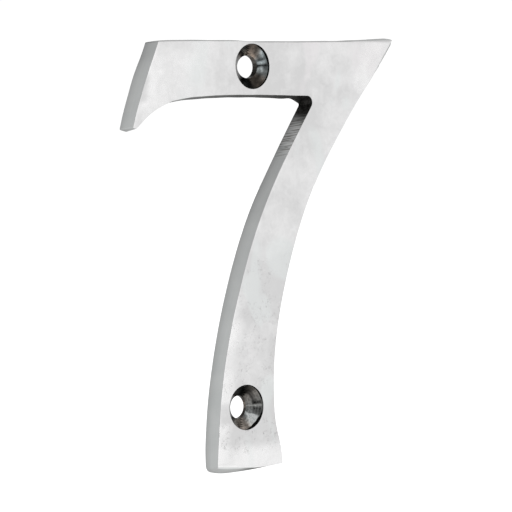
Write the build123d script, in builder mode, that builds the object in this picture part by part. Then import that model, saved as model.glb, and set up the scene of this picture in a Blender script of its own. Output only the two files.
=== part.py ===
"""House number 7, cast in one piece, with two countersunk screw holes.

Frame, in millimetres: the numeral stands upright as it hangs on the wall,
+Z up, +X to the reader's right, and the reader looks along +Y.
The back face lies on Y = 0 and the front face on Y = -plate_t.
The origin is where the bore of the upper screw hole opens on the back face.
"""
from build123d import *
import math
import os

os.makedirs("parts", exist_ok=True)

# ---------------------------------------------------------------- dimensions
plate_t = 2.90            # thickness of the casting
draft = 0.46              # how far the sides spread from front to back
draft_top = 0.24          # the top edge is filed closer to square
draft_beak = 0.42         # and so is the beak's blunt end
bevel = 0.10              # the front edge is broken all round

bore_r = 2.00             # screw hole through the plate
rim_r = 3.95              # countersink at the front face
rim_step = 0.35           # short straight wall at the countersink's mouth
cone_angle = 100.0        # included angle of the countersink
cone_tip_r = 1.20         # the cone is cut down to here, inside the bore
cone_h = (rim_r - cone_tip_r) / math.tan(math.radians(cone_angle / 2))

upper_bore = (0.0, 0.0)
upper_sink = (-0.46, 0.03)       # this countersink is a little off its bore
lower_bore = (-4.13, -59.62)
lower_sink = (-3.85, -59.59)      # and so is this one, the other way

# Corner radii of the front and the back outline, one for the end of each run:
# beak tip, beak heel, serif to underside, notch, foot left, foot right,
# right tip of the bar, upper left corner of the bar.
front_radii = (0.15, 0.20, 0.0, 1.15, 0.55, 0.12, 0.25, 0.20)
back_radii = (0.20, 0.35, 0.0, 0.30, 1.30, 0.20, 0.40, 0.30)

# The foot's lower front edge is rolled over: a place on it, its fall to the back
# and the roll's radius there, until it has run out into the broken edge.
foot_roll = [((-12.05, -69.50), 0.86, 0.85), ((-9.00, -69.76), 1.12, 1.05),
             ((-6.40, -70.00), 1.11, 0.95), ((-4.60, -70.18), 0.95, 0.55),
             ((-2.40, -70.37), 0.75, 0.27), ((1.20, -70.37), 0.57, 0.06)]
top_roll = 1.00                   # rolled top edge of the bar, at its right tip
side_roll = 0.50                  # rolled slanting edge below the tip, at the tip
tip_corner = (34.12, 4.73)        # where those two front edges meet
top_roll_end = (19.50, 4.45)      # where they have faded out, just off the metal
side_roll_end = (27.58, -3.40)

# ------------------------------------------------------- front outline (X, Z)
# Runs in order, anticlockwise as the reader sees them, from the bar's upper left.
end_face = [(-21.75, 4.38), (-22.76, 2.17), (-23.69, 0.23), (-24.58, -1.74),
            (-25.43, -3.72), (-26.24, -5.70), (-27.01, -7.68), (-27.84, -10.20)]
beak = [(-27.84, -10.20), (-27.13, -10.38)]
serif = [(-27.13, -10.38), (-26.22, -9.68), (-25.25, -8.90), (-24.25, -8.18),
         (-23.20, -7.55), (-22.10, -7.00), (-20.95, -6.53), (-19.85, -6.12), (-18.87, -5.78)]
underside = [(-18.87, -5.78), (-15.65, -5.33), (-12.53, -5.11), (-9.40, -4.98),
             (-6.26, -4.93), (-3.12, -4.93), (0.01, -4.97), (3.15, -5.04),
             (6.28, -5.13), (9.41, -5.23)]
inner_edge = [(13.27, -7.19), (10.37, -11.21), (7.44, -15.30), (4.60, -19.51),
              (1.97, -23.86), (-0.40, -28.36), (-2.48, -33.00), (-4.33, -37.74),
              (-6.01, -42.56), (-7.47, -47.45), (-8.67, -52.40), (-9.59, -57.42),
              (-10.25, -62.50), (-10.66, -67.00), (-10.85, -69.60)]
foot = [(-10.85, -69.60), (-8.60, -69.80), (-6.20, -70.02), (-4.00, -70.25),
        (-1.40, -70.42), (0.60, -70.39), (2.50, -70.29), (4.25, -70.16)]
outer_edge = [(4.36, -70.16), (4.24, -68.80), (3.98, -67.10), (3.31, -64.40), (2.83, -61.73),
              (2.68, -58.40), (2.74, -54.95), (3.50, -48.21), (4.99, -41.71),
              (7.01, -35.40), (9.43, -29.24), (12.37, -23.27), (15.93, -17.58),
              (19.95, -12.21), (24.20, -6.95), (28.74, -1.92), (32.33, 2.20),
              (34.06, 4.42)]
top_edge = [(34.12, 4.72), (31.30, 4.63), (28.50, 4.49), (25.40, 4.43), (22.60, 4.31),
            (19.70, 4.29), (10.60, 4.25), (6.00, 4.26), (2.20, 4.26), (0.30, 4.31),
            (-1.60, 4.42), (-3.60, 4.47), (-8.50, 4.47), (-16.70, 4.48), (-21.75, 4.38)]

# The back outline is the front one spread outwards, with these exceptions:
# the bar's end and underside and the stem's inner side are filed by hand and spread
# unevenly, one amount for each point, the notch is cut off slantwise at the back, the
# foot's lower edge hangs lower and bows a little, its left corner is drawn in, and the
# bar's upper left corner droops.
end_drafts = (0.48, 0.47, 0.55, 0.65, 0.62, 0.58, 0.56, 0.54)
under_drafts = (0.46, 0.46, 0.45, 0.43, 0.40, 0.37, 0.37, 0.39, 0.44, 0.45)
notch_back = [(10.45, -5.67), (10.95, -5.77), (11.40, -5.95), (11.76, -6.13), (12.23, -6.37)]
inner_drafts = (0.54, 0.44, 0.38, 0.37, 0.56, 0.62, 0.64, 0.64, 0.59, 0.54, 0.53, 0.60,
                0.60, 0.54, 0.52)
foot_back = [(-11.16, -70.40), (-8.60, -70.96), (-6.20, -71.13), (-3.60, -71.11),
             (-0.60, -71.03), (2.00, -70.88), (4.78, -70.64)]
stem_back_end = (-11.18, -69.50)
top_back_end = [(-18.60, 4.66), (-20.60, 4.52), (-21.90, 4.36)]


# ------------------------------------------------------------------- helpers
def direction(a, b):
    """Unit vector from a to b."""
    length = math.hypot(b[0] - a[0], b[1] - a[1])
    return ((b[0] - a[0]) / length, (b[1] - a[1]) / length)


def spread(points, amounts):
    """The run moved outwards, square to itself, by one amount or one for each point."""
    moved = []
    for i, here in enumerate(points):
        amount = amounts[i] if isinstance(amounts, tuple) else amounts
        dx, dz = direction(points[max(0, i - 1)], points[min(len(points) - 1, i + 1)])
        moved.append((here[0] + dz * amount, here[1] - dx * amount))
    return moved


def corner_round(run_in, run_out, radius):
    """Start, middle and end of the round between two runs.

    The last stretch of one and the first of the next are carried on to where
    they cross, and the round touches both.
    """
    ux, uz = direction(run_in[-2], run_in[-1])
    sx, sz = direction(run_out[0], run_out[1])
    gap_x, gap_z = run_out[0][0] - run_in[-1][0], run_out[0][1] - run_in[-1][1]
    ahead = (gap_x * sz - gap_z * sx) / (ux * sz - uz * sx)
    corner = (run_in[-1][0] + ux * ahead, run_in[-1][1] + uz * ahead)
    if radius == 0:
        return corner, corner, corner
    half = math.acos(-(ux * sx + uz * sz)) / 2
    reach = radius / math.tan(half)
    bx, bz = sx - ux, sz - uz
    inset = (radius / math.sin(half) - radius) / math.hypot(bx, bz)
    return ((corner[0] - ux * reach, corner[1] - uz * reach),
            (corner[0] + bx * inset, corner[1] + bz * inset),
            (corner[0] + sx * reach, corner[1] + sz * reach))


def draw_outline(runs, radii):
    """The closed outline: each run a line or a spline, each corner a round."""
    rounds = [corner_round(runs[i], runs[(i + 1) % len(runs)], radii[i]) for i in range(len(runs))]
    for i, run in enumerate(runs):
        points = [rounds[i - 1][2]] + run[1:-1] + [rounds[i][0]]
        if len(points) == 2:
            Line(*points)
        else:
            Spline(*points)
        if radii[i] > 0:
            ThreePointArc(*rounds[i])


def roll_section(at, along, fall, radius):
    """Section of what a rolled front edge takes away, on a plane across it.

    at is on the sharp front edge, along is the edge's direction with the metal
    on its left, and fall is how far the side spreads outwards to the back.
    """
    slope = math.hypot(plate_t, fall)
    half = math.acos(-fall / slope) / 2
    reach = radius / math.tan(half)
    side = (reach * plate_t / slope, -reach * fall / slope)
    my, mz = plate_t / slope, 1 - fall / slope
    inset = (radius / math.sin(half) - radius) / math.hypot(my, mz)
    with BuildSketch(Plane(origin=(at[0], -plate_t, at[1]), x_dir=(0, 1, 0),
                           z_dir=(along[0], 0, along[1]))) as section:
        with BuildLine():
            ThreePointArc((0, reach), (my * inset, mz * inset), side)
            Polyline(side, (side[0], -2.2), (-1, -2.2), (-1, reach), (0, reach))
        make_face()
    return section.sketch


# ---------------------------------------------------------------- the outlines
front_runs = [end_face, beak, serif, underside, inner_edge, foot, outer_edge, top_edge]
back_runs = [spread(run, draft) for run in front_runs]
back_runs[0] = spread(end_face, end_drafts)
back_runs[1] = spread(beak, draft_beak)
back_runs[3] = spread(underside, under_drafts) + notch_back
back_runs[4] = spread(inner_edge, inner_drafts)[:-1] + [stem_back_end]
back_runs[5] = foot_back
back_runs[7] = spread(top_edge, draft_top)[:-2] + top_back_end
face_runs = [spread(run, -bevel) for run in front_runs]

back_plane = Plane(origin=(0, 0, 0), x_dir=(1, 0, 0), z_dir=(0, -1, 0))
edge_plane = back_plane.offset(plate_t - bevel)
front_plane = back_plane.offset(plate_t)

# -------------------------------------------------------------------- numeral
with BuildPart() as numeral_seven:
    # the cast plate: its outline spreads from the front face to the back
    for plane, runs, radii in ((back_plane, back_runs, back_radii),
                               (edge_plane, front_runs, front_radii),
                               (front_plane, face_runs, front_radii)):
        with BuildSketch(plane):
            with BuildLine():
                draw_outline(runs, radii)
            make_face()
    loft(ruled=True)

    # the foot's lower front edge is rolled over, and the roll runs out to the right
    along = direction(foot_roll[0][0], foot_roll[-1][0])
    with BuildPart(mode=Mode.PRIVATE) as foot_cut:
        loft([roll_section(at, along, fall, radius) for at, fall, radius in foot_roll], ruled=True)
    add(foot_cut.part, mode=Mode.SUBTRACT)

    # The bar's right tip is rolled too, along the top and down the slanting side.
    # Each roll runs out past the tip at one end and clear of the metal at the other.
    along = direction(tip_corner, top_roll_end)
    with BuildPart(mode=Mode.PRIVATE) as top_cut:
        loft([roll_section((tip_corner[0] - along[0] * 1.2, tip_corner[1] - along[1] * 1.2),
                           along, draft_top, top_roll),
              roll_section(top_roll_end, along, draft_top, 0.12)],
             ruled=True)
    add(top_cut.part, mode=Mode.SUBTRACT)
    along = direction(side_roll_end, tip_corner)
    with BuildPart(mode=Mode.PRIVATE) as side_cut:
        loft([roll_section(side_roll_end, along, draft, 0.12),
              roll_section((tip_corner[0] + along[0] * 1.2, tip_corner[1] + along[1] * 1.2),
                           along, draft, side_roll)],
             ruled=True)
    add(side_cut.part, mode=Mode.SUBTRACT)

    # the screw holes: bore, cone and the short straight mouth of each
    for bore, sink in ((upper_bore, upper_sink), (lower_bore, lower_sink)):
        with Locations(front_plane.location * Location((sink[0], sink[1], 0))):
            Cylinder(rim_r, rim_step, align=(Align.CENTER, Align.CENTER, Align.MAX),
                     mode=Mode.SUBTRACT)
        with Locations(front_plane.location * Location((sink[0], sink[1], -rim_step))):
            Cone(cone_tip_r, rim_r, cone_h, align=(Align.CENTER, Align.CENTER, Align.MAX),
                 mode=Mode.SUBTRACT)
        with Locations(front_plane.location * Location((bore[0], bore[1], 0))):
            Hole(bore_r)

numeral_seven.part.label = "numeral_seven"
export_step(numeral_seven.part, "parts/numeral_seven.step")
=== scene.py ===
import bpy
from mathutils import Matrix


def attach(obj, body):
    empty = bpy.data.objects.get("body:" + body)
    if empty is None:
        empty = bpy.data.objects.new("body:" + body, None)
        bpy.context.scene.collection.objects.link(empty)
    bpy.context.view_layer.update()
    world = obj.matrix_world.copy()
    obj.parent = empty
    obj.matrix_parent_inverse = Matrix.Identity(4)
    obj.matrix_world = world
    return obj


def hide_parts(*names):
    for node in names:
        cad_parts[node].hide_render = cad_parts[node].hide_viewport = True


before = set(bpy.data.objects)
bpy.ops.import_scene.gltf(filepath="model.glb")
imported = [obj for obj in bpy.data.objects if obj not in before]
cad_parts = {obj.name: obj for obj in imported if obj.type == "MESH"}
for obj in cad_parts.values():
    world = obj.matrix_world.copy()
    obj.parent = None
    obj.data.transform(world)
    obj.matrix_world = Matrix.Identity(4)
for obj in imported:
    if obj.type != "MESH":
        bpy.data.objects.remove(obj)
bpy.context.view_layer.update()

# House number 7: one casting, linished and plated in satin chrome, with two
# countersunk screw holes. Lengths below are millimetres in the frame of the
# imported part, and become metres when the mesh is made.
import math
import bpy
import numpy as np
from mathutils import Matrix, Vector, kdtree
from mathutils.geometry import delaunay_2d_cdt

# ------------------------------------------------------------------ dimensions
plate_t = 2.90
edge_w = 2.80            # depth from the back at which the side walls end
draft, draft_top, draft_beak = 0.46, 0.24, 0.42
bore_r, rim_r, rim_step = 2.00, 3.97, 0.35
cone_tan = math.tan(math.radians(50.0))
holes = (((0.0, 0.0), (-0.46, 0.03)), ((-4.13, -59.62), (-3.85, -59.59)))  # bore, countersink

front_radii = (0.15, 0.20, 0.0, 1.15, 0.55, 0.12, 0.25, 0.20)
back_radii = (0.20, 0.35, 0.0, 0.30, 1.30, 0.20, 0.40, 0.30)

# Front outline in X, Z: runs in order, anticlockwise as the reader sees them.
end_face = [(-21.75, 4.38), (-22.76, 2.17), (-23.69, 0.23), (-24.58, -1.74),
            (-25.43, -3.72), (-26.24, -5.70), (-27.01, -7.68), (-27.84, -10.20)]
beak = [(-27.84, -10.20), (-27.13, -10.38)]
serif = [(-27.13, -10.38), (-26.22, -9.68), (-25.25, -8.90), (-24.25, -8.18),
         (-23.20, -7.55), (-22.10, -7.00), (-20.95, -6.53), (-19.85, -6.12), (-18.87, -5.78)]
underside = [(-18.87, -5.78), (-15.65, -5.33), (-12.53, -5.11), (-9.40, -4.98),
             (-6.26, -4.93), (-3.12, -4.93), (0.01, -4.97), (3.15, -5.04),
             (6.28, -5.13), (9.41, -5.23)]
inner_edge = [(13.27, -7.19), (10.37, -11.21), (7.44, -15.30), (4.60, -19.51),
              (1.97, -23.86), (-0.40, -28.36), (-2.48, -33.00), (-4.33, -37.74),
              (-6.01, -42.56), (-7.47, -47.45), (-8.67, -52.40), (-9.59, -57.42),
              (-10.25, -62.50), (-10.66, -67.00), (-10.85, -69.60)]
foot = [(-10.85, -69.60), (-8.60, -69.80), (-6.20, -70.02), (-4.00, -70.25),
        (-1.40, -70.42), (0.60, -70.39), (2.50, -70.29), (4.25, -70.16)]
outer_edge = [(4.36, -70.16), (4.24, -68.80), (3.98, -67.10), (3.31, -64.40), (2.83, -61.73),
              (2.68, -58.40), (2.74, -54.95), (3.50, -48.21), (4.99, -41.71),
              (7.01, -35.40), (9.43, -29.24), (12.37, -23.27), (15.93, -17.58),
              (19.95, -12.21), (24.20, -6.95), (28.74, -1.92), (32.33, 2.20),
              (34.06, 4.42)]
top_edge = [(34.12, 4.72), (31.30, 4.63), (28.50, 4.49), (25.40, 4.43), (22.60, 4.31),
            (19.70, 4.29), (10.60, 4.25), (6.00, 4.26), (2.20, 4.26), (0.30, 4.31),
            (-1.60, 4.42), (-3.60, 4.47), (-8.50, 4.47), (-16.70, 4.48), (-21.75, 4.38)]
end_drafts = (0.48, 0.47, 0.55, 0.65, 0.62, 0.58, 0.56, 0.54)
under_drafts = (0.46, 0.46, 0.45, 0.43, 0.40, 0.37, 0.37, 0.39, 0.44, 0.45)
notch_back = [(10.45, -5.67), (10.95, -5.77), (11.40, -5.95), (11.76, -6.13), (12.23, -6.37)]
inner_drafts = (0.54, 0.44, 0.38, 0.37, 0.56, 0.62, 0.64, 0.64, 0.59, 0.54, 0.53, 0.60,
                0.60, 0.54, 0.52)
foot_back = [(-11.16, -70.40), (-8.60, -70.96), (-6.20, -71.13), (-3.60, -71.11),
             (-0.60, -71.03), (2.00, -70.88), (4.78, -70.64)]
stem_back_end = (-11.18, -69.50)
top_back_end = [(-18.60, 4.66), (-20.60, 4.52), (-21.90, 4.36)]
tip_corner, top_roll_end, side_roll_end = (34.12, 4.73), (19.50, 4.45), (27.58, -3.40)

SAMPLE = 0.17            # spacing along the outline
FRONT_GRID = 0.27        # spacing of the points that fill the front face
BACK_GRID = 0.50
HOLE_SIDES = 168


# --------------------------------------------------------------------- outline
def unit(v):
    v = np.asarray(v, float)
    return v / np.linalg.norm(v, axis=-1, keepdims=True)


def spread(points, amounts):
    """The run moved outwards by one amount or one for each point."""
    moved = []
    for i, here in enumerate(points):
        amount = amounts[i] if isinstance(amounts, tuple) else amounts
        dx, dz = unit(np.subtract(points[min(len(points) - 1, i + 1)], points[max(0, i - 1)]))
        moved.append((here[0] + dz * amount, here[1] - dx * amount))
    return moved


def corner_round(run_in, run_out, radius):
    """Start, centre and end of the round between two runs."""
    u = unit(np.subtract(run_in[-1], run_in[-2]))
    s = unit(np.subtract(run_out[1], run_out[0]))
    gap = np.subtract(run_out[0], run_in[-1])
    ahead = (gap[0] * s[1] - gap[1] * s[0]) / (u[0] * s[1] - u[1] * s[0])
    corner = np.asarray(run_in[-1]) + u * ahead
    if radius == 0:
        return corner, None, corner
    half = math.acos(-float(u @ s)) / 2
    reach = radius / math.tan(half)
    return corner - u * reach, corner + unit(s - u) * (radius / math.sin(half)), corner + s * reach


def through(points, count):
    """count + 1 points, evenly spaced, on the natural cubic spline through the points."""
    p = np.asarray(points, float)
    t = np.concatenate([[0], np.cumsum(np.linalg.norm(np.diff(p, axis=0), axis=1))])
    h, n = np.diff(t), len(p)
    if n == 2:
        return p[0] + (p[1] - p[0]) * np.linspace(0, 1, count + 1)[:, None]
    m = np.zeros((n, n))
    rhs = np.zeros((n, 2))
    m[0, 0] = m[-1, -1] = 1
    for i in range(1, n - 1):
        m[i, i - 1:i + 2] = h[i - 1], 2 * (h[i - 1] + h[i]), h[i]
        rhs[i] = 6 * ((p[i + 1] - p[i]) / h[i] - (p[i] - p[i - 1]) / h[i - 1])
    curve = np.linalg.solve(m, rhs)

    def at(x):
        i = np.clip(np.searchsorted(t, x, side="right") - 1, 0, n - 2)
        a, b = ((t[i + 1] - x) / h[i])[:, None], ((x - t[i]) / h[i])[:, None]
        return a * p[i] + b * p[i + 1] + ((a**3 - a) * curve[i] + (b**3 - b) * curve[i + 1]) * (h[i] ** 2)[:, None] / 6

    fine = at(np.linspace(0, t[-1], 40 * n))
    along = np.concatenate([[0], np.cumsum(np.linalg.norm(np.diff(fine, axis=0), axis=1))])
    return at(np.interp(np.linspace(0, along[-1], count + 1), along, np.linspace(0, t[-1], 40 * n)))


def outline(runs, radii, counts):
    """The closed outline as points, run after run, each with its corner round after it."""
    rounds = [corner_round(runs[i], runs[(i + 1) % len(runs)], radii[i]) for i in range(len(runs))]
    points = []
    for i, run in enumerate(runs):
        points.append(through([rounds[i - 1][2], *run[1:-1], rounds[i][0]], counts[i])[:-1])
        start, centre, end = rounds[i]
        if centre is None:
            continue
        a, b = start - centre, end - centre
        turn = math.atan2(a[0] * b[1] - a[1] * b[0], float(a @ b))
        for k in range(corner_counts[i]):
            angle = turn * k / corner_counts[i]
            c, s = math.cos(angle), math.sin(angle)
            points.append(centre + [[a[0] * c - a[1] * s, a[0] * s + a[1] * c]])
    return np.concatenate(points)


front_runs = [end_face, beak, serif, underside, inner_edge, foot, outer_edge, top_edge]
back_runs = [spread(run, draft) for run in front_runs]
back_runs[0] = spread(end_face, end_drafts)
back_runs[1] = spread(beak, draft_beak)
back_runs[3] = spread(underside, under_drafts) + notch_back
back_runs[4] = spread(inner_edge, inner_drafts)[:-1] + [stem_back_end]
back_runs[5] = foot_back
back_runs[7] = spread(top_edge, draft_top)[:-2] + top_back_end

run_counts = [max(4, round(sum(math.dist(a, b) for a, b in zip(run, run[1:])) / SAMPLE)) for run in front_runs]
corner_counts = [8, 8, 0, 22, 12, 10, 10, 10]
front_line = outline(front_runs, front_radii, run_counts)
back_line = outline(back_runs, back_radii, run_counts)
N = len(front_line)

step = np.roll(front_line, -1, 0) - front_line
arc_at = np.concatenate([[0], np.cumsum(np.linalg.norm(step, axis=1))[:-1]])   # mm along the outline
tangent = unit(np.roll(front_line, -1, 0) - np.roll(front_line, 1, 0))
outward = np.stack([tangent[:, 1], -tangent[:, 0]], 1)
start_of = {}
at = 0
for name, count, corner in zip(("end", "beak", "serif", "under", "inner", "foot", "outer", "top"), run_counts, corner_counts):
    start_of[name] = at
    at += count
    start_of[name + "_corner"] = at
    at += corner


# ---------------------------------------------------------------------- relief
def waves(x, z, seed, shortest, longest, count=22):
    """Gentle random swell, about -1 to 1, of waves between two lengths."""
    pick = np.random.default_rng(seed)
    total = np.zeros(np.shape(x))
    for _ in range(count):
        angle, phase = pick.uniform(0, 2 * math.pi, 2)
        k = 2 * math.pi / pick.uniform(shortest, longest)
        total += np.sin(k * (x * math.cos(angle) + z * math.sin(angle)) + phase)
    return total / math.sqrt(2 * count)


def smooth(x, low, high):
    t = np.clip((x - low) / (high - low), 0, 1)
    return t * t * (3 - 2 * t)


def face_relief(x, z, edge_gap, rim_gap):
    """How far the polished face lies below flat: hand-linished swell, and a crown that falls towards edges."""
    swell = 0.026 * waves(x, z, 11, 8, 19) + 0.0060 * waves(x, z, 12, 2.6, 6) + 0.0013 * waves(x, z, 13, 0.9, 2.1)
    crown = 0.030 * np.clip(1 - edge_gap / 2.2, 0, 1) ** 2
    dish = 0.022 * np.exp(-rim_gap / 0.55)
    return 0.012 + swell * (0.55 + 0.45 * smooth(edge_gap, 0, 2)) + crown + dish


def grooves(s, low, high, seed, closest, furthest, width, depth):
    """Irregular file grooves across the wall, between two places along the outline."""
    pick = np.random.default_rng(seed)
    total, here = np.zeros(np.shape(s)), low
    while here < high:
        w, d = pick.uniform(*width), pick.uniform(*depth)
        total += d * np.exp(-((s - here) / w) ** 2)
        here += pick.uniform(closest, furthest)
    return total


# ---------------------------------------------------- side walls and their edges
def edge_round(sharp, a, b, radius, steps):
    """Rings of the round on a sharp edge. a and b are the directions from it along its two faces."""
    half = np.arccos(np.clip((a * b).sum(1), -1, 1)) / 2
    reach = radius / np.tan(half)
    centre = sharp + unit(a + b) * (radius / np.sin(half))[:, None]
    p, q = sharp + a * reach[:, None] - centre, sharp + b * reach[:, None] - centre
    turn = np.arccos(np.clip((unit(p) * unit(q)).sum(1), -1, 1))
    rings = []
    for k in range(steps + 1):
        f = k / steps
        rings.append(centre + (p * np.sin((1 - f) * turn)[:, None] + q * np.sin(f * turn)[:, None]) / np.sin(turn)[:, None])
    return rings


def lift(line, y):
    return np.stack([line[:, 0], np.full(len(line), float(y)), line[:, 1]], 1)


wall = unit(lift(front_line, -edge_w) - lift(back_line, 0))
front_sharp = lift(front_line, -edge_w) + wall * (-(plate_t - edge_w) / wall[:, 1])[:, None]
back_sharp = lift(back_line, 0)
out3 = lift(outward, 0)
back_tangent = unit(np.roll(back_line, -1, 0) - np.roll(back_line, 1, 0))
back_out3 = lift(np.stack([back_tangent[:, 1], -back_tangent[:, 0]], 1), 0)

loop = arc_at / arc_at[-1] * 2 * math.pi
pick = np.random.default_rng(5)
wear = sum(np.sin(k * loop + pick.uniform(0, 6.28)) for k in (31, 47, 73, 101, 149)) / 2.4
front_r = 0.078 + 0.016 * wear
back_r = np.full(N, 0.06)

inner_start, under_start = arc_at[start_of["inner"]], arc_at[start_of["under"]]
# the notch, and almost as much the underside of the bar, are rougher, and their colour is painted near black as shade
under = under_start - inner_start
dull_and_shade = np.interp(arc_at - inner_start,
                 (under - 3.0, under + 4.0, under + 14.0, under + 20.0, under + 25.0, -3.0, -1.2, 1.5, 2.0, 2.6, 3.2, 4.2, 5.5, 7.0, 12.0, 20.0, 26.0, 31.0),
                 (0.0, 0.70, 0.86, 0.90, 0.97, 0.995, 1.0, 1.0, 0.84, 0.60, 0.38, 0.20, 0.08, 0.04, 0.02, 0.05, 0.02, 0.0))
hand = waves(arc_at, 0 * arc_at, 24, 2.2, 9) * (0.012 + 0.024 * dull_and_shade)
# what the rounds take off, the sharp edges stand proud by
front_sharp = front_sharp + out3 * (0.6 * hand + 0.055 * smooth(out3[:, 0], 0.2, 0.8))[:, None]
back_sharp = back_sharp + out3 * (hand + 0.02)[:, None]
# right of its roll, the foot's lower edge is rougher too, and painted dark as shade
dull_and_shade = np.maximum(dull_and_shade, np.interp(arc_at - arc_at[start_of["foot"]], (5.0, 7.5, 10.5, 14.2, 15.2), (0.0, 0.70, 0.70, 0.55, 0.0)))

back_arc = edge_round(back_sharp, -back_out3, wall, back_r, 3)
front_arc = edge_round(front_sharp, -wall, -out3, front_r, 6)
wall_rings = []
for depth in (0.25, 0.6, 1.0, 1.45, 1.85, 2.15, 2.38, 2.56, 2.70):
    f = depth / plate_t
    wall_rings.append(back_sharp + (front_sharp - back_sharp) * f)

filed = smooth(arc_at, inner_start - 0.6, inner_start + 0.3) * (1 - smooth(arc_at, inner_start + 8.0, inner_start + 12.5))
near_front = kdtree.KDTree(N)
for i, here in enumerate(front_line):
    near_front.insert((here[0], here[1], 0), i)
near_front.balance()
FILE_LEAN = 0.26         # mm along the wall for each mm from front to back


def place_along(points):
    """Where each point lies along the outline, for a cut that leans down towards the back."""
    nearest = np.array([near_front.find((q[0], q[2], 0))[1] for q in points])
    return (arc_at[nearest] + ((points[:, [0, 2]] - front_line[nearest]) * tangent[nearest]).sum(1)
            - FILE_LEAN * (points[:, 1] + plate_t))


def cuts(points):
    s = place_along(points)
    return filed * (grooves(s, inner_start - 0.4, inner_start + 11, 21, 0.42, 1.05, (0.10, 0.26), (0.010, 0.034))
                    + 0.35 * grooves(s, inner_start - 0.4, inner_start + 11, 22, 0.22, 0.5, (0.06, 0.12), (0.004, 0.014)))


for ring in wall_rings:
    swell = 0.010 * waves(arc_at, ring[:, 1], 31, 6, 16) + 0.0025 * waves(arc_at, ring[:, 1] * 3, 32, 1.5, 4)
    ring -= out3 * (swell - 0.008 + cuts(ring))[:, None]
for k, ring in enumerate(front_arc[:-1]):
    ring -= out3 * (cuts(ring) * (1 - k / 6))[:, None]
for k, ring in enumerate(back_arc[1:]):
    ring -= out3 * (cuts(ring) * (k + 1) / 3)[:, None]

rings = [*back_arc, *wall_rings, *front_arc]
ring_kind = ["back"] * len(back_arc) + ["wall"] * len(wall_rings) + ["edge"] * len(front_arc)

verts, quads, tris = [np.concatenate(rings)], [], []
for k in range(len(rings) - 1):
    i = np.arange(N)
    j = (i + 1) % N
    quads.append(np.stack([k * N + i, k * N + j, (k + 1) * N + j, (k + 1) * N + i], 1))
sink_mask = [np.zeros(len(verts[0]))]
wall_mask = [np.concatenate([np.full(N, {"back": 1.0, "wall": 1.0, "edge": 0.0}[kind]) for kind in ring_kind])]
for k in range(len(front_arc)):
    wall_mask[0][(len(rings) - len(front_arc) + k) * N:][:N] = max(0.0, 1 - k / 3)
along_mask = [place_along(verts[0])]
filed_mask = [np.tile(filed, len(rings)) * (wall_mask[0] > 0)]
dull_and_shade_mask = [np.tile(dull_and_shade, len(rings))]
tone_mask, warm_mask = [np.ones(len(verts[0]))], [np.zeros(len(verts[0]))]
back_mask = [np.concatenate([np.full(N, [1.0, 0.6, 0.2, 0.0][k] if k < 4 else 0.0) for k in range(len(rings))])]
total = len(verts[0])


def add_points(points, sink=0.0, wall_=0.0, back=0.0, tone=1.0, warm=0.0):
    """Adds vertices with their masks and returns the first one's number."""
    global total
    first = total
    verts.append(points)
    n = len(points)
    sink_mask.append(np.broadcast_to(sink, n).astype(float))
    wall_mask.append(np.broadcast_to(wall_, n).astype(float))
    back_mask.append(np.broadcast_to(back, n).astype(float))
    along_mask.append(np.zeros(n))
    filed_mask.append(np.zeros(n))
    dull_and_shade_mask.append(np.zeros(n))
    tone_mask.append(np.broadcast_to(tone, n).astype(float))
    warm_mask.append(np.broadcast_to(warm, n).astype(float))
    total += n
    return first


# ---------------------------------------------------------------- screw holes
# Each countersink is painted partly light and partly black, as painted reflections and shade. Each mark lies at a place
# by the clock, in degrees from 3 o'clock, and reaches so far each way from there;
# then its radius and reach in mm, and how light it is painted.
painted_sink_marks = (
    ((20, 70, 3.0, 9, 0.26), (104, 34, 2.4, 0.5, 0.36), (94, 26, 3.45, 0.45, 0.03), (70, 15, 3.5, 0.5, 0.10),
     (-122, 44, 3.0, 9, 0.001), (-95, 20, 2.8, 9, 0.002), (150, 32, 3.0, 9, 0.03), (119, 18, 2.5, 0.45, 0.50),
     (-60, 17, 3.0, 9, 0.072), (-36, 17, 2.95, 0.35, 0.045), (-31, 12, 3.65, 0.4, 0.28), (-24, 9, 2.7, 0.3, 0.16),
     (-13, 10, 2.5, 0.35, 0.62), (-11, 9, 3.05, 0.25, 0.78), (0, 7, 3.6, 0.4, 0.14), (-1, 6, 2.4, 0.25, 0.05),
     (13, 7, 3.0, 0.7, 0.82), (24, 6, 3.0, 0.6, 0.11), (39, 11, 3.6, 0.4, 0.80), (44, 16, 2.4, 0.3, 0.72)),
    ((0, 80, 3.0, 9, 0.28), (-104, 27, 3.0, 9, 0.36), (-103, 20, 2.4, 0.3, 0.52), (-74, 12, 2.8, 0.7, 0.24), (-58, 12, 3.5, 0.6, 1.3),
     (-58, 12, 2.7, 0.3, 0.45), (-47, 13, 3.4, 0.7, 1.8), (-37, 9, 2.8, 0.9, 1.6), (-21, 8, 2.9, 9, 0.17), (-24, 8, 2.4, 0.3, 0.40),
     (14, 8, 2.85, 0.4, 0.02), (36, 32, 2.85, 0.28, 0.08), (25, 36, 2.3, 0.3, 0.42), (30, 21, 3.6, 0.5, 0.36),
     (60, 10, 3.2, 0.9, 0.07), (86, 20, 3.0, 9, 0.003), (118, 42, 3.0, 9, 0.001), (70, 10, 2.8, 0.6, 0.004)),
)
clock_warm = (
    ((-120, 0.3), (-60, 0.8), (-38, 0.6), (-22, -0.7), (20, -1.0), (34, -0.2), (48, 0.6), (75, 1.0), (120, 0.6), (160, 0.2)),
    ((-150, 0.3), (-110, 0.6), (-78, 0.45), (-62, -0.3), (-45, -0.6), (-20, -0.5), (5, -0.3), (45, 0.1), (60, 0.2), (78, 0.5), (110, 0.1), (180, 0.2)),
)
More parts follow.
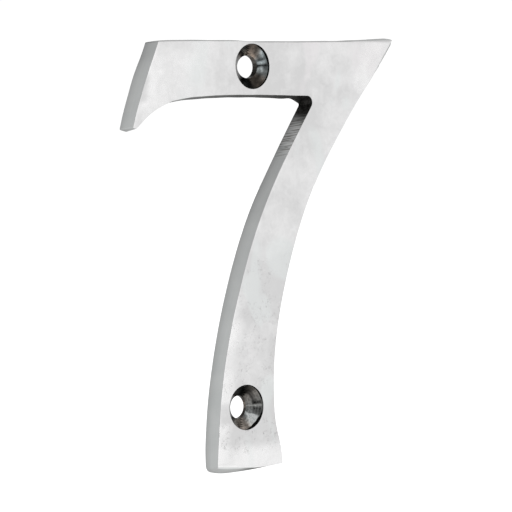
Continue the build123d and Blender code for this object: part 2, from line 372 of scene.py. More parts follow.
# the straight mouth is painted black as shade in places, and the painted black runs on to the cone there
painted_mouth_shade = (
    ((-180, 0.10), (-130, 0.02), (-20, 0.01), (0, 0.05), (12, 0.01), (80, 0.01), (110, 0.05), (150, 0.10)),
    ((-180, 0.08), (-120, 0.02), (-90, 0.01), (-20, 0.01), (-8, 0.20), (10, 0.24), (22, 0.03), (120, 0.02), (150, 0.05)),
)
painted_rim_black = (((-40, 0.03), (-5, 0.03), (20, 0.11), (40, 0.13), (62, 0.09), (80, 0.0)),
       ((-92, 0.0), (-76, 0.17), (-60, 0.30), (-38, 0.29), (-27, 0.11), (-14, 0.02), (20, 0.02), (40, 0.06), (60, 0.0)))
angles = np.linspace(0, 2 * math.pi, HOLE_SIDES, endpoint=False)
degrees = (np.degrees(angles) + 180) % 360 - 180
around = np.stack([np.cos(angles), np.zeros(HOLE_SIDES), np.sin(angles)], 1)
rim_loops, bore_loops = [], []
for number, (bore, sink) in enumerate(holes):
    pick = np.random.default_rng(70 + number)
    bore3, sink3 = np.array([bore[0], 0, bore[1]]), np.array([sink[0], 0, sink[1]])
    offset = sink3 - bore3
    along_u = around @ offset
    meet = -along_u + np.sqrt(along_u**2 - offset @ offset + bore_r**2)     # cone radius where it meets the bore
    made = []
    warmth = np.interp(degrees, *zip(*clock_warm[number]), period=360)
    mouth = np.interp(degrees, *zip(*painted_mouth_shade[number]), period=360)
    black = np.interp(degrees, *zip(*painted_rim_black[number]), period=360)
    # painted shade and reflection in the bore: dark, lighter about a few places by the clock, darker still past one
    in_bore = (0.030 + 0.10 * np.exp(-((degrees - 31) / 24) ** 2) + 0.05 * np.exp(-((degrees - 76) / 12) ** 2),
               0.045 + 0.16 * np.exp(-((degrees - 8) / 20) ** 2) + 0.13 * np.exp(-((degrees + 60) / 15) ** 2))[number]
    in_bore = in_bore * (1 - smooth(degrees, 55 + 35 * (1 - number), 85 + 25 * (1 - number)) * 0.9)
    in_bore = in_bore * np.clip(1 + 0.40 * waves(6 * angles, 3 * np.cos(3 * angles), 87 + number, 1.2, 3.5), 0.35, 1.8)

    lean = 1.5 * np.exp(-((degrees - 42) / 17) ** 2) * (1 - number)      # the upper one is bluer towards its rim there
    in_bore_warm = np.clip(warmth + 0.9, 0.1, 1.0)

    def ring(points, sink_, wall_=0.0, back=0.0, tone=mouth, warm=warmth):
        made.append(add_points(points, sink_, wall_, back, tone, warm))

    def painted_cone_light(radius):
        """How light the cone is painted at each point of a ring, as painted reflections and shade: bands, blotches,
        dashes and a radial line.
        """
        r = np.broadcast_to(radius, HOLE_SIDES)
        u, v = r * np.cos(angles), r * np.sin(angles)
        bands = 1 + (0.06, 0.13)[number] * np.sin(2 * math.pi * r / 0.43 + 1.5 * number + 0.8 * np.sin(angles))
        blotch = 1 + 0.22 * waves(u, v, 81 + number, 0.5, 1.6)
        out = np.full(HOLE_SIDES, 0.04)
        for place, reach, middle, width, tone_there in painted_sink_marks[number]:
            away = (degrees - place + 180) % 360 - 180
            out += (tone_there - out) * np.exp(-np.abs(away / reach) ** 3 - ((r - middle) / width) ** 2)
        out = out * bands * np.clip(blotch, 0.45, 1.6)
        dash = 0.5 + 0.5 * np.sin(2 * math.pi * r / 0.38 + 2.0 * np.sign(degrees) + 1.4 * waves(u, v, 85, 0.4, 0.9))
        if number == 0:
            line = np.exp(-((degrees - 3.4) / 3.0) ** 2) * smooth(r, 2.2, 2.4)
            out = out * (1 - line * (0.95 - 0.35 * dash * smooth(r, 2.8, 3.0)))
        else:
            line = np.exp(-((degrees - 1.5) / 2.7) ** 2)
            side = np.clip(np.exp(-((degrees - 11) / 5.0) ** 2) + np.exp(-((degrees + 9) / 5.0) ** 2), 0, 1) * smooth(r, 2.5, 2.9)
            out = out * (1 - 0.98 * side * (0.48 + 0.52 * dash)) + 0.42 * line * (0.80 + 0.20 * np.sin(9 * r))
        # painted shade: a black crescent on the cone next to the rim
        out = np.where(r > rim_r - 0.02 - black, 0.006, out)
        return np.clip(out, 0.002, 1.0)

    lip = 0.042 + 0.006 * np.sin(3 * angles + number)
    ring(sink3 + around * (rim_r + 0.11) + [0, -plate_t, 0], 0.0, tone=1.0)
    for k in range(5):                       # the rounded lip, from the face into the straight mouth
        turn = k / 4 * math.pi / 2
        radius = rim_r - 0.012 + lip * (1 - np.sin(turn))
        ring(sink3 + around * radius[:, None] + [0, 1, 0] * (lip * (1 - np.cos(turn)) - plate_t)[:, None], k / 4)
    rim_loops.append(made[0])
    # the straight mouth, painted dark as shade
    for down in (0.10, 0.20, rim_step - 0.03):
        ring(sink3 + around * (rim_r - 0.012) + [0, down - plate_t, 0], 1.0)
    steps = 56
    inward = -around * math.cos(math.radians(50)) - [0, math.sin(math.radians(50)), 0]  # the cone's own normal
    pitch, shift = 0.36 + 0.03 * number, pick.uniform(0, 6)
    for k in range(steps + 1):
        f = k / steps
        radius = rim_r - 0.012 + (meet - rim_r + 0.012) * f
        down = rim_step + (rim_r - radius) / cone_tan
        turned = (0.0034 * np.sin(2 * math.pi * radius / pitch + shift + 0.5 * np.sin(2 * angles + number))
                  + 0.0013 * np.sin(2 * math.pi * radius / 0.171 + 1.3)
                  + 0.0020 * np.sin(7 * angles + 2 * radius) + 0.006 * np.sin(3 * angles + 1 + 2 * number))
        fade = min(1.0, 6 * f, 6 * (1 - f))
        # the cone's colour is painted light and shade, standing in for its reflections
        ring(sink3 + around * radius[:, None] + [0, 1, 0] * (down - plate_t)[:, None] + inward * (turned * fade)[:, None], 1.0,
             tone=painted_cone_light(radius) if f > 0.02 else mouth, warm=np.clip(warmth - lean * (radius - 2.85), -1, 1))
    # the bore, about its own axis, in line with the cone's sides
    reach = offset + around * meet[:, None]
    at_bore = reach / np.linalg.norm(reach, axis=1, keepdims=True)
    top_y = rim_step + (rim_r - meet) / cone_tan - plate_t
    for f in (0.03, 0.12, 0.35, 0.65, 0.88):
        y = top_y + (-0.10 - top_y) * f
        wobble = 0.006 * np.sin(2 * math.pi * y / 0.42 + angles)
        ring(bore3 + at_bore * (bore_r + wobble * (0.05 < f < 0.8))[:, None] + [0, 1, 0] * y[:, None], 1.0, tone=in_bore, warm=in_bore_warm)
    for k in range(4):                       # its broken edge on the back face
        turn = k / 3 * math.pi / 2
        ring(bore3 + at_bore * (bore_r + 0.03 * (1 - math.cos(turn))) + [0, -0.03 * (1 - math.sin(turn)), 0],
             1 - k / 3, 0.0, k / 3, in_bore, in_bore_warm)
    bore_loops.append(made[-1])
    for a, b in zip(made, made[1:]):
        i = np.arange(HOLE_SIDES)
        j = (i + 1) % HOLE_SIDES
        quads.append(np.stack([a + i, a + j, b + j, b + i], 1))


# ---------------------------------------------------------- front and back faces
def inside(points, line):
    """Which points lie inside the closed line."""
    found = np.zeros(len(points), bool)
    a, b = line, np.roll(line, -1, 0)
    for low in range(0, len(points), 4000):
        x, z = points[low:low + 4000, 0][:, None], points[low:low + 4000, 1][:, None]
        crosses = (a[:, 1] > z) != (b[:, 1] > z)
        with np.errstate(divide="ignore", invalid="ignore"):
            where = a[:, 0] + (z - a[:, 1]) / (b[:, 1] - a[:, 1]) * (b[:, 0] - a[:, 0])
        found[low:low + 4000] = (crosses & (x < where)).sum(1) % 2 == 1
    return found


def gaps(points, line):
    """Distance from each point to the nearest of the line's points."""
    tree = kdtree.KDTree(len(line))
    for i, p in enumerate(line):
        tree.insert((p[0], p[1], 0), i)
    tree.balance()
    return np.array([tree.find((p[0], p[1], 0))[2] for p in points])


def fill(outer, outer_first, loops, pitch, y, **masks):
    """Fills a flat face between its outer loop and its hole loops with an even net of points."""
    lines = [outer] + [np.concatenate(verts)[first:first + HOLE_SIDES][:, [0, 2]] for first in loops]
    low, high = outer.min(0), outer.max(0)
    rows = int((high[1] - low[1]) / (pitch * 0.866)) + 2
    columns = int((high[0] - low[0]) / pitch) + 2
    r, c = np.meshgrid(np.arange(rows), np.arange(columns), indexing="ij")
    net = np.stack([low[0] + (c + 0.5 * (r % 2)) * pitch, low[1] + r * pitch * 0.866], -1).reshape(-1, 2)
    keep = inside(net, outer)
    for line in lines[1:]:
        keep &= ~inside(net, line)
    net = net[keep]
    net = net[gaps(net, np.concatenate(lines)) > pitch * 0.62]
    own = add_points(lift(net, y), **masks)
    numbers = np.concatenate([outer_first + np.arange(len(outer))] + [f + np.arange(HOLE_SIDES) for f in loops]
                             + [own + np.arange(len(net))])
    flat = np.concatenate(lines + [net])
    edges, at = [], 0
    for line in lines:
        edges += [(at + i, at + (i + 1) % len(line)) for i in range(len(line))]
        at += len(line)
    out = delaunay_2d_cdt([Vector(p) for p in flat], edges, [], 0, 1e-7, True)
    assert len(out[0]) == len(flat), "the face's net gained points"
    origin = np.array([ids[0] for ids in out[3]])
    t = origin[np.array([f for f in out[2]])]
    middle = flat[t].mean(1)
    keep = inside(middle, outer)
    for line in lines[1:]:
        keep &= ~inside(middle, line)
    t = t[keep]
    a, b, c = flat[t[:, 0]], flat[t[:, 1]], flat[t[:, 2]]
    area = (b[:, 0] - a[:, 0]) * (c[:, 1] - a[:, 1]) - (b[:, 1] - a[:, 1]) * (c[:, 0] - a[:, 0])
    t[area < 0] = t[area < 0][:, ::-1]       # anticlockwise as the reader sees them
    return numbers[t]


front_first = (len(rings) - 1) * N
tris.append(fill(rings[-1][:, [0, 2]], front_first, rim_loops, FRONT_GRID, -plate_t))
tris.append(fill(rings[0][:, [0, 2]], 0, bore_loops, BACK_GRID, 0.0, back=1.0)[:, ::-1])

p = np.concatenate(verts)


# --------------------------------------------------------------- rolled edges
def roll(stations, falls, radii):
    """Brings every point beyond a rolled front edge onto its round, which runs along the stations."""
    stations = np.array(stations, float)
    length = np.linalg.norm(stations[-1] - stations[0])
    along = (stations[-1] - stations[0]) / length
    square = np.array([-along[1], along[0]])
    at_t, bow = (stations - stations[0]) @ along / length, (stations - stations[0]) @ square
    rel = p[:, [0, 2]] - stations[0]
    t = rel @ along / length
    near = (t > -0.02) & (t < 1.0)
    t = np.clip(t, 0, 1)
    depth, inward = p[:, 1] + plate_t, rel @ square - np.interp(t, at_t, bow)
    fall, radius = np.interp(t, at_t, falls), np.interp(t, at_t, radii)
    slope = np.hypot(plate_t, fall)
    reach = radius / np.tan(np.arccos(-fall / slope) / 2)
    d0, d1 = depth - radius, inward - reach
    # in the fan between straight out of the face and straight out of the wall
    n0, n1 = -fall / slope, -plate_t / slope
    b = d1 / n1
    a = -(d0 - b * n0)
    size = np.hypot(d0, d1)
    hit = near & (a > 0) & (b > 0) & (size > radius) & (size < radius + 2.5)
    scale = np.where(hit, radius / np.maximum(size, 1e-9), 1)
    new_depth, new_in = radius + d0 * scale, reach + d1 * scale
    p[hit, 1] = (new_depth - plate_t)[hit]
    p[hit, 0] += ((new_in - inward) * -along[1])[hit]
    p[hit, 2] += ((new_in - inward) * along[0])[hit]


roll(((-12.05, -69.50), (-9.00, -69.76), (-6.40, -70.00), (-4.60, -70.18), (-2.40, -70.37), (1.20, -70.37)),
     (0.86, 1.12, 1.11, 0.95, 0.75, 0.57), (0.85, 1.05, 0.95, 0.55, 0.27, 0.06))
top_along = unit(np.subtract(top_roll_end, tip_corner))
roll((tip_corner - top_along * 1.2, top_roll_end), (draft_top, draft_top), (1.00, 0.12))
side_along = unit(np.subtract(tip_corner, side_roll_end))
roll((side_roll_end, tip_corner + side_along * 1.2), (draft, draft), (0.12, 0.50))

# the two rolls of the tip meet in a soft corner
quads, tris = np.concatenate(quads), np.concatenate(tris)
tip = np.linalg.norm(p - [34.0, -2.6, 4.5], axis=1)
for _ in range(6):
    ends = np.concatenate([quads[:, [0, 1]], quads[:, [1, 2]], quads[:, [2, 3]], quads[:, [3, 0]], tris[:, [0, 1]], tris[:, [1, 2]], tris[:, [2, 0]]])
    ends = ends[(tip[ends] < 1.0).any(1)]
    total_p, hits = np.zeros_like(p), np.zeros(len(p))
    for a, b in ((0, 1), (1, 0)):
        np.add.at(total_p, ends[:, a], p[ends[:, b]])
        np.add.at(hits, ends[:, a], 1)
    share = (0.6 * (1 - smooth(tip, 0.25, 0.8)) * (hits > 0))[:, None]
    p = p * (1 - share) + share * total_p / np.maximum(hits, 1)[:, None]

# the face's swell, which its edges and the mouths of the holes follow
edge_gap = gaps(p[:, [0, 2]], front_line)
rim_gap = np.full(len(p), 99.0)
for _, sink in holes:
    rim_gap = np.minimum(rim_gap, np.abs(np.hypot(p[:, 0] - sink[0], p[:, 2] - sink[1]) - rim_r))
share = 1 - smooth(p[:, 1], -plate_t, -plate_t + 0.9)
p[:, 1] += share * face_relief(p[:, 0], p[:, 2], edge_gap, rim_gap)
# the back is as cast, then rubbed flat: it keeps a faint swell
flat_share = smooth(p[:, 1], -0.3, 0.0)
p[:, 1] -= flat_share * (0.010 + 0.010 * waves(p[:, 0], p[:, 2], 41, 5, 14) + 0.004 * waves(p[:, 0], p[:, 2], 42, 1.5, 3))

mesh = bpy.data.meshes.new("house_number_seven")
loops = np.concatenate([quads.ravel(), tris.ravel()]).astype(np.int32)
sizes = np.concatenate([np.full(len(quads), 4), np.full(len(tris), 3)]).astype(np.int32)
mesh.vertices.add(len(p))
mesh.vertices.foreach_set("co", (p / 1000).astype(np.float32).ravel())
mesh.loops.add(len(loops))
mesh.loops.foreach_set("vertex_index", loops)
mesh.polygons.add(len(sizes))
mesh.polygons.foreach_set("loop_start", np.concatenate([[0], np.cumsum(sizes)[:-1]]).astype(np.int32))
mesh.polygons.foreach_set("loop_total", sizes)
mesh.polygons.foreach_set("use_smooth", np.ones(len(sizes), bool))
mesh.update(calc_edges=True)
mesh.validate()
for name, values in (("sink", sink_mask), ("wall", wall_mask), ("back", back_mask), ("along", along_mask), ("filed", filed_mask),
                     ("dull_and_shade", dull_and_shade_mask), ("tone", tone_mask), ("warm", warm_mask)):
    layer = mesh.attributes.new(name, "FLOAT", "POINT")
    layer.data.foreach_set("value", np.concatenate(values).astype(np.float32))
layer = mesh.attributes.new("lee", "FLOAT", "POINT")        # distance from the stem's inner edge
layer.data.foreach_set("value", gaps(p[:, [0, 2]], front_line[start_of["inner"]:start_of["foot"]]).astype(np.float32))
numeral = bpy.data.objects.new("numeral_seven_casting", mesh)
bpy.context.scene.collection.objects.link(numeral)
print("triangles:", len(quads) * 2 + len(tris), "outline points:", N)


# -------------------------------------------------------------------- material
class Nodes:
    """Short calls for building a node tree."""

    def __init__(self, tree):
        self.tree = tree

    def add(self, kind, settings=(), **inputs):
        node = self.tree.nodes.new(kind)
        for key, value in dict(settings).items():
            setattr(node, key, value)
        for key, value in inputs.items():
            self.put(node, key, value)
        return node

    def put(self, node, key, value):
        socket = node.inputs[int(key[1:]) if key[:1] == "_" and key[1:].isdigit() else key.replace("_", " ")]
        if isinstance(value, bpy.types.NodeSocket):
            self.tree.links.new(value, socket)
        else:
            socket.default_value = value

    def math(self, operation, a, b=0.0, clamp=False):
        return self.add("ShaderNodeMath", {"operation": operation, "use_clamp": clamp}, _0=a, _1=b).outputs[0]

    def attribute(self, name):
        return self.add("ShaderNodeAttribute", {"attribute_name": name}).outputs["Fac"]

    def noise(self, vector, scale, detail=2.0, roughness=0.5, distortion=0.0):
        return self.add("ShaderNodeTexNoise", {}, Vector=vector, Scale=scale, Detail=detail, Roughness=roughness,
                        Distortion=distortion).outputs["Fac"]

    def ramp(self, value, low, high, to_low=0.0, to_high=1.0, shape="SMOOTHSTEP"):
        node = self.add("ShaderNodeMapRange", {"interpolation_type": shape})
        for key, v in zip(("Value", "From Min", "From Max", "To Min", "To Max"), (value, low, high, to_low, to_high)):
            self.put(node, key, v)
        return node.outputs[0]

    def mix(self, factor, a, b):
        node = self.add("ShaderNodeMix", {"data_type": "RGBA"})
        self.put(node, "_0", factor)
        for index, value in ((6, a), (7, b)):
            if isinstance(value, bpy.types.NodeSocket):
                self.tree.links.new(value, node.inputs[index])
            else:
                node.inputs[index].default_value = (*value, 1)
        return node.outputs[2]

    def scaled(self, vector, scale, rotation=(0, 0, 0)):
        return self.add("ShaderNodeMapping", {}, Vector=vector, Scale=scale, Rotation=rotation).outputs[0]

    def combine(self, x, y, z):
        return self.add("ShaderNodeCombineXYZ", {}, X=x, Y=y, Z=z).outputs[0]

    def bump(self, height, distance, normal=None):
        node = self.add("ShaderNodeBump", {}, Height=height, Distance=distance, Strength=1.0)
        if normal is not None:
            self.put(node, "Normal", normal)
        return node.outputs[0]


chrome = bpy.data.materials.new("satin_chrome_finish")
chrome.use_nodes = True
chrome.node_tree.nodes.clear()
n = Nodes(chrome.node_tree)
place = n.add("ShaderNodeTexCoord").outputs["Object"]
mm = n.scaled(place, (1000, 1000, 1000))
xyz = n.add("ShaderNodeSeparateXYZ", {}, Vector=mm)
x, y, z = (xyz.outputs[i] for i in range(3))
sink, side, back, along, rubbed, lee = (n.attribute(a) for a in ("sink", "wall", "back", "along", "filed", "lee"))
dull_and_shade, tone, warm = (n.attribute(a) for a in ("dull_and_shade", "tone", "warm"))
belt = n.combine(n.math("MULTIPLY", along, 0.12), n.math("MULTIPLY", y, 3.2), 0.0)    # lines along the wall
across = n.combine(n.math("MULTIPLY", along, 2.4), n.math("MULTIPLY", y, 0.35), 0.0)  # lines across it

clouds = n.noise(mm, 0.16, 3.0, 0.55, 0.4)
fine_clouds = n.noise(mm, 0.75, 3.0, 0.6, 0.8)
streaks = n.noise(n.scaled(mm, (1.6, 1.6, 0.16)), 1.0, 3.0, 0.6, 0.3)
tint = n.noise(n.scaled(mm, (1, 1, 0.6)), 0.11, 2.0, 0.5, 0.6)
dirt = n.noise(mm, 2.6, 4.0, 0.65, 0.5)

face_tone = n.math("ADD", n.math("MULTIPLY", clouds, 0.62), n.math("ADD", n.math("MULTIPLY", fine_clouds, 0.30),
                                                                     n.math("MULTIPLY", streaks, 0.06)))
# lighter and darker patches across the face: lighter at the ends of the bar and on the foot
def zone(value, *edges):
    """1 between two soft edges: rises from edges[0] to edges[1], falls from edges[2] to edges[3]."""
    return n.math("MULTIPLY", n.ramp(value, edges[0], edges[1]), n.ramp(value, edges[3], edges[2]))


face_patches = n.ramp(x, -13, -24, 0, 0.08)
for amount, *parts in (
    (-0.10, n.ramp(x, -24, -27)),
    (0.26, n.ramp(x, 20, 31)),
    (0.09, n.ramp(x, 0, -5), n.ramp(z, -14, -10)),
    (-0.10, zone(x, 2, 5, 11, 15), n.ramp(z, -9, -6)),
    (-0.13, zone(x, -11, -7, 2, 5), n.ramp(z, 1.0, -2.5), n.ramp(z, -8, -6)),
    (-0.10, zone(x, 3, 7, 15, 18), zone(z, -17, -14, -7, -5)),
    (0.08, zone(z, -28, -25, -22, -19), n.ramp(lee, 4, 9)),
    (-0.17, zone(z, -47, -43, -35, -31)),
    (-0.10, zone(z, -60, -56, -50, -46)),
    (0.24, zone(z, -68.5, -65, -38, -33), n.ramp(lee, 4.0, 0.8)),
    (0.06, zone(z, -66, -60, -56, -52), n.ramp(x, -4, -8)),
    (-0.12, zone(z, -67, -65.5, -62, -59)),
    (0.25, n.ramp(z, -65, -68)),
    (-0.26, zone(z, -42, -39, -35, -32), zone(x, -7, -4.5, -2, 1)),
    (-0.30, zone(z, -63, -61.5, -59.2, -58), n.ramp(lee, 4.5, 1)),
    (-0.15, zone(z, -64, -61.5, -58.5, -57), n.ramp(lee, 3, 7)),
    (0.05, zone(z, -51, -48, -40, -38), n.ramp(lee, 4, 1)),
    (-0.08, zone(z, -48, -46, -42, -40), zone(x, -7, -5, 0, 2)),
    (-0.09, zone(x, 17, 19, 21.5, 24), n.ramp(z, 2.5, 0.5), n.ramp(z, -3, -1)),
    (-0.28, n.ramp(x, -23.5, -25), zone(z, -6.5, -5, -2, 0.5)),
    (0.12, zone(z, -18, -14, -10, -7), n.ramp(x, 13, 17)),
    (-0.10, zone(x, -3, 0, 4, 7), n.ramp(z, -4, 0)),
    (-0.15, zone(x, -23.5, -22, -15, -13), n.ramp(z, 0, 4)),
):
    for part in parts:
        amount = n.math("MULTIPLY", amount, part)
    face_patches = n.math("ADD", face_patches, amount)
face_tone = n.math("ADD", face_tone, face_patches)
face_colour = n.mix(n.ramp(face_tone, 0.36, 0.76, shape="LINEAR"), (0.665, 0.663, 0.664), (0.865, 0.862, 0.863))
face_colour = n.mix(n.ramp(tint, 0.42, 0.34, 0, 0.5), face_colour, (0.760, 0.790, 0.785))
face_colour = n.mix(n.ramp(tint, 0.60, 0.70, 0, 0.5), face_colour, (0.800, 0.775, 0.785))
# smudges, squiggles and fine pits half-way down the stem and under the lower hole
worn = n.math("MAXIMUM", n.math("MULTIPLY", zone(z, -60, -56, -36, -30), n.ramp(n.noise(mm, 0.30, 2.0), 0.40, 0.56)),
              n.math("MULTIPLY", zone(z, -68.5, -67, -63, -60), n.ramp(n.noise(mm, 0.34, 1.0), 0.36, 0.48)))
smudge = n.math("MULTIPLY", n.ramp(dirt, 0.50, 0.68), n.math("MULTIPLY", n.ramp(worn, 0, 1, 0.08, 1.0), n.ramp(lee, 1.5, 4.5, 0.3, 1.0)))
face_colour = n.mix(n.math("MULTIPLY", smudge, 0.26), face_colour, (0.50, 0.49, 0.49))
wander = n.noise(n.scaled(mm, (1.0, 1.0, 0.75), (0, 0.5, 0)), 1.05, 2.0, 0.6, 1.0)
squiggle = n.ramp(n.math("ABSOLUTE", n.math("SUBTRACT", wander, 0.5)), n.ramp(z, -58, -62, 0.017, 0.022), 0.005)
squiggle = n.math("MULTIPLY", squiggle, n.math("MULTIPLY", n.ramp(n.noise(mm, 1.3, 1.0), 0.50, 0.58), worn))
face_colour = n.mix(n.math("MULTIPLY", squiggle, n.ramp(z, -58, -62, 0.50, 0.80)), face_colour, (0.38, 0.37, 0.37))

wall_tone = n.math("ADD", n.math("MULTIPLY", n.noise(belt, 1.0, 3.0, 0.6), 0.35), n.math("MULTIPLY", n.noise(mm, 0.3, 3.0, 0.5), 0.65))
wall_colour = n.mix(n.ramp(wall_tone, 0.3, 0.7), (0.706, 0.724, 0.720), (0.756, 0.768, 0.764))
# file strokes about every 0.5 mm, wandering, some strong and some faint
stroke_shift = n.noise(n.combine(n.math("MULTIPLY", along, 1.0), n.math("MULTIPLY", y, 0.16), 0.0), 1.0, 2.0, 0.5)
stroke = n.math("SINE", n.math("ADD", n.math("MULTIPLY", along, 12.0), n.math("MULTIPLY", stroke_shift, 14.0)))
file_tone = n.noise(n.combine(n.math("MULTIPLY", along, 3.3), n.math("MULTIPLY", y, 0.28), 0.0), 1.0, 2.0, 0.55)
file_tone = n.math("ADD", n.math("MULTIPLY", file_tone, 0.75), n.math("ADD", 0.125, n.math("MULTIPLY", stroke, 0.065)))
wall_colour = n.mix(n.math("MULTIPLY", rubbed, n.ramp(file_tone, 0.49, 0.38)), wall_colour, (0.35, 0.34, 0.325))
wall_colour = n.mix(n.math("MULTIPLY", rubbed, n.ramp(file_tone, 0.50, 0.62, 0, 0.9)), wall_colour, (0.92, 0.92, 0.91))
# painted shade on the walls: darker towards the back edge, more so where filed and lighter at the front there, and the
# end wall darker towards its top
depth = n.math("ADD", 1.0, n.math("DIVIDE", y, plate_t))                  # 0 at the front, 1 at the back
painted_wall_shade = n.math("SUBTRACT", 1.0, n.math("MULTIPLY", n.math("POWER", n.math("MAXIMUM", depth, 0.0), 2.6), 0.27))
painted_wall_shade = n.math("MULTIPLY", painted_wall_shade, n.math("SUBTRACT", n.math("ADD", 1.04, n.math("MULTIPLY", rubbed, 0.10)), n.math("MULTIPLY", n.math("MULTIPLY", rubbed, depth), 0.34)))
end_wall = n.ramp(x, -20, -22)
painted_wall_shade = n.math("MULTIPLY", painted_wall_shade, n.math("ADD", n.math("MULTIPLY", end_wall, n.ramp(z, 3.5, -1.0, -0.11, 0.03)), 1.0))
wall_colour = n.add("ShaderNodeVectorMath", {"operation": "SCALE"}, _0=wall_colour, Scale=painted_wall_shade).outputs[0]
# painted shade: on the notch, the underside of the bar and the foot's lower edge the wall colour goes near black
painted_shade_black = n.mix(n.ramp(n.noise(mm, 1.5, 3.0, 0.6, 0.4), 0.36, 0.64), (0.016, 0.015, 0.014), (0.070, 0.067, 0.064))
wall_colour = n.mix(dull_and_shade, wall_colour, painted_shade_black)

speck = n.ramp(n.noise(mm, 4.5, 2.0, 0.6), 0.35, 0.65, 0.78, 1.22)
sink_hue = n.mix(n.ramp(warm, -1, 1, shape="LINEAR"), (0.86, 0.97, 1.0), (1.0, 0.81, 0.67))
sink_colour = n.add("ShaderNodeVectorMath", {"operation": "SCALE"}, _0=sink_hue, Scale=n.math("MULTIPLY", tone, speck)).outputs[0]
back_tone = n.math("ADD", n.math("MULTIPLY", n.noise(mm, 0.45, 4.0, 0.6, 0.3), 0.72),
                   n.math("MULTIPLY", n.noise(n.scaled(mm, (0.22, 1.0, 5.0), (0, 0.06, 0)), 1.0, 3.0, 0.6), 0.28))
back_colour = n.mix(n.ramp(back_tone, 0.32, 0.68), (0.53, 0.52, 0.505), (0.65, 0.645, 0.635))

colour = n.mix(side, face_colour, wall_colour)
colour = n.mix(sink, colour, sink_colour)
colour = n.mix(back, colour, back_colour)

rough = n.ramp(face_tone, 0.34, 0.66, 0.37, 0.26, "LINEAR")
rough = n.math("ADD", rough, n.math("MULTIPLY", smudge, 0.10))
rough = n.math("ADD", n.math("MULTIPLY", rough, n.math("SUBTRACT", 1.0, side)),
               n.math("MULTIPLY", side, n.math("ADD", n.ramp(wall_tone, 0.3, 0.7, 0.36, 0.28, "LINEAR"), n.math("MULTIPLY", dull_and_shade, 0.36))))
rough = n.math("ADD", n.math("MULTIPLY", rough, n.math("SUBTRACT", 1.0, sink)), n.math("MULTIPLY", sink, 0.15))
rough = n.math("ADD", n.math("MULTIPLY", rough, n.math("SUBTRACT", 1.0, back)),
               n.math("MULTIPLY", back, n.ramp(back_tone, 0.3, 0.7, 0.52, 0.40, "LINEAR")))

on_face = n.math("MULTIPLY", n.math("SUBTRACT", 1.0, side), n.math("SUBTRACT", 1.0, n.math("MAXIMUM", sink, back)))
grain = n.noise(n.scaled(mm, (7.0, 7.0, 0.9)), 1.0, 3.0, 0.6)
orange = n.noise(mm, 1.7, 3.0, 0.55)
pores = n.add("ShaderNodeTexVoronoi", {"feature": "F1"}, Vector=mm, Scale=1.15, Randomness=1.0).outputs["Distance"]
pit = n.math("MULTIPLY", n.ramp(pores, 0.16, 0.03), n.math("MULTIPLY", n.ramp(worn, 0, 1, 0.06, 1.0), n.ramp(lee, 1.5, 4.5, 0.15, 1.0)))
height = n.math("ADD", n.math("MULTIPLY", grain, 0.22), n.math("MULTIPLY", orange, n.ramp(z, -10, -24, 0.62, 1.0)))
height = n.math("SUBTRACT", height, n.math("MULTIPLY", n.math("ADD", pit, squiggle), 2.6))
normal = n.bump(n.math("MULTIPLY", height, on_face), 0.0000034)
normal = n.bump(n.math("MULTIPLY", side, n.noise(n.combine(n.math("MULTIPLY", along, 0.5), n.math("MULTIPLY", y, 11.0), 0.0), 1.0, 3.0, 0.6)),
                0.000004, normal)
normal = n.bump(n.math("MULTIPLY", n.math("MULTIPLY", side, rubbed), n.noise(n.combine(n.math("MULTIPLY", along, 7.0), n.math("MULTIPLY", y, 0.5), 0.0), 1.0, 3.0, 0.65)),
                0.000016, normal)
normal = n.bump(n.math("MULTIPLY", back, n.noise(mm, 3.2, 5.0, 0.65)), 0.000014, normal)

shader = n.add("ShaderNodeBsdfPrincipled", {}, Base_Color=colour, Metallic=1.0, Roughness=rough, Normal=normal)
out = n.add("ShaderNodeOutputMaterial")
chrome.node_tree.links.new(shader.outputs[0], out.inputs[0])
mesh.materials.append(chrome)

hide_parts("numeral_seven")
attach(numeral, "root")

# --------------------------------------------------------------- floor, studio
floor_mesh = bpy.data.meshes.new("studio_floor")
floor_mesh.from_pydata([(-9, -9, -0.30), (9, -9, -0.30), (9, 9, -0.30), (-9, 9, -0.30)], [], [(0, 1, 2, 3)])
floor = bpy.data.objects.new("studio_floor", floor_mesh)
bpy.context.scene.collection.objects.link(floor)
paper = bpy.data.materials.new("white_paper")
paper.use_nodes = True
lit = paper.node_tree.nodes["Principled BSDF"]
lit.inputs["Base Color"].default_value = (0.9, 0.9, 0.9, 1)
lit.inputs["Roughness"].default_value = 0.9
lit.inputs["Emission Color"].default_value = (1, 1, 1, 1)
lit.inputs["Emission Strength"].default_value = 0.8
floor_mesh.materials.append(paper)
floor.visible_glossy = False

# A large soft key in front, a fill behind on the left, a little light all round
# and a dark card high up behind, in a studio with a white backdrop.
world = bpy.data.worlds.new("studio")
bpy.context.scene.world = world
world.use_nodes = True
world.node_tree.nodes.clear()
w = Nodes(world.node_tree)
toward = w.add("ShaderNodeVectorMath", {"operation": "NORMALIZE"}, _0=w.add("ShaderNodeTexCoord").outputs["Generated"]).outputs[0]


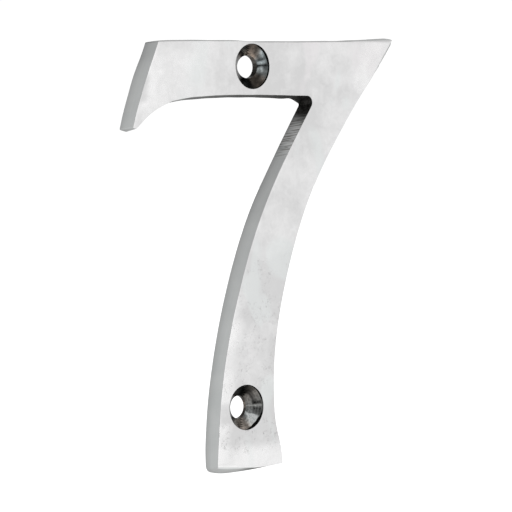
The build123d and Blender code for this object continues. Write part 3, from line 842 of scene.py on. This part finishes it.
def softbox(azimuth, elevation, full, none, strength, hue=(1, 1, 1)):
    """A soft round light: full strength within one angle of its centre, nothing past another.

    Azimuth 0 is in front of the numeral and 90 on its right, as the reader sees it.
    """
    a, e = math.radians(azimuth), math.radians(elevation)
    centre = (math.sin(a) * math.cos(e), -math.cos(a) * math.cos(e), math.sin(e))
    dot = w.add("ShaderNodeVectorMath", {"operation": "DOT_PRODUCT"}, _0=toward, _1=centre).outputs["Value"]
    angle = w.math("ARCCOSINE", w.math("MINIMUM", w.math("MAXIMUM", dot, -1.0), 1.0))
    level = w.ramp(angle, math.radians(full), math.radians(none), strength, 0.0)
    return w.add("ShaderNodeVectorMath", {"operation": "SCALE"}, _0=hue, Scale=level).outputs[0]


lights = [
    softbox(42, -3, 18, 62, 0.52),
    softbox(82, -50, 16, 42, 0.50),
    softbox(90, 50, 10, 45, 0.18),
    softbox(100, -8, 10, 40, 0.18),
    softbox(-128, -8, 20, 62, 0.17, (0.97, 1.0, 1.0)),
    softbox(8, 2, 6, 34, 0.60),
    softbox(-170, -65, 15, 50, 0.12),
    softbox(180, 38, 12, 30, -0.30),
]
level = (0.48, 0.48, 0.48)
for light in lights:
    level = w.add("ShaderNodeVectorMath", {"operation": "ADD"}, _0=level, _1=light).outputs[0]
studio = w.add("ShaderNodeBackground", {}, Color=level, Strength=1.0)
backdrop = w.add("ShaderNodeBackground", {}, Color=(1, 1, 1, 1), Strength=1.05)
chosen = w.add("ShaderNodeMixShader")
w.put(chosen, "_0", w.add("ShaderNodeLightPath").outputs["Is Camera Ray"])
w.put(chosen, "_1", studio.outputs[0])
w.put(chosen, "_2", backdrop.outputs[0])
world.node_tree.links.new(chosen.outputs[0], w.add("ShaderNodeOutputWorld").inputs[0])

# ---------------------------------------------------------------------- camera
camera_data = bpy.data.cameras.new("camera")
camera_data.lens, camera_data.sensor_width = 204.02, 36.0
camera_data.clip_start, camera_data.clip_end = 0.01, 20.0
camera = bpy.data.objects.new("camera", camera_data)
bpy.context.scene.collection.objects.link(camera)
right, up, ahead = (0.747087, -0.664264, -0.024783), (0.049532, 0.018451, 0.998602), (0.662878, 0.747270, -0.046687)
camera.matrix_world = Matrix((
    (right[0], up[0], -ahead[0], -0.3381959),
    (right[1], up[1], -ahead[1], -0.3832480),
    (right[2], up[2], -ahead[2], -0.0094264),
    (0, 0, 0, 1),
))
bpy.context.scene.camera = camera
bpy.context.scene.view_settings.view_transform = "Standard"
